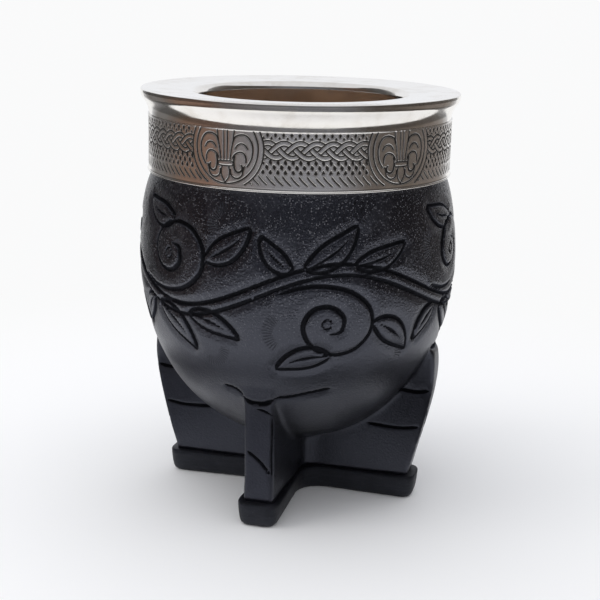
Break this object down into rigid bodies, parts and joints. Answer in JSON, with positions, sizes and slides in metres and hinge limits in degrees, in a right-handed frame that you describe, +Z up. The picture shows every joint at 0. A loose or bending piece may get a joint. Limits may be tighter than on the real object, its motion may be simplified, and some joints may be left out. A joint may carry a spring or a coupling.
{
  "type": "mate gourd",
  "caption": "Round hollow cup for mate tea: a thick gourd in a black tooled leather cover with upright legs on a star sole, and a flared metal rim with an engraved band.",
  "frame": {"origin": "on the floor under the middle of the sole, on the cup's axis", "axes": "+Z up along the cup's axis, -Y towards the front leg, +X towards the right leg"},
  "size_m": [0.086, 0.086, 0.111],
  "materials": {
    "gourd": "dry calabash, smooth and slightly waxy, stained by tea inside",
    "cover_leather": "black dyed, wet moulded and tooled, semi-gloss",
    "sole_leather": "black thick sole leather, burnished edge",
    "leg_board": "raw board",
    "polished_alpaca": "nickel silver, mirror polished, warm tone",
    "engraved_alpaca": "nickel silver, engraved, dark patina in the lines",
    "pitch": "hardened bedding pitch"
  },
  "bodies": {
    "root": {"gourd_shell": "gourd", "leather_cover": "cover_leather", "sole_plate": "sole_leather", "leg_core_right": "leg_board", "leg_core_back": "leg_board", "leg_core_left": "leg_board", "leg_core_front": "leg_board", "mouth_ring": "polished_alpaca", "throat_sleeve": "polished_alpaca", "flare_collar": "polished_alpaca", "engraved_band": "engraved_alpaca", "lower_bead": "polished_alpaca", "pitch_bedding": "pitch"}
  },
  "joints": []
}
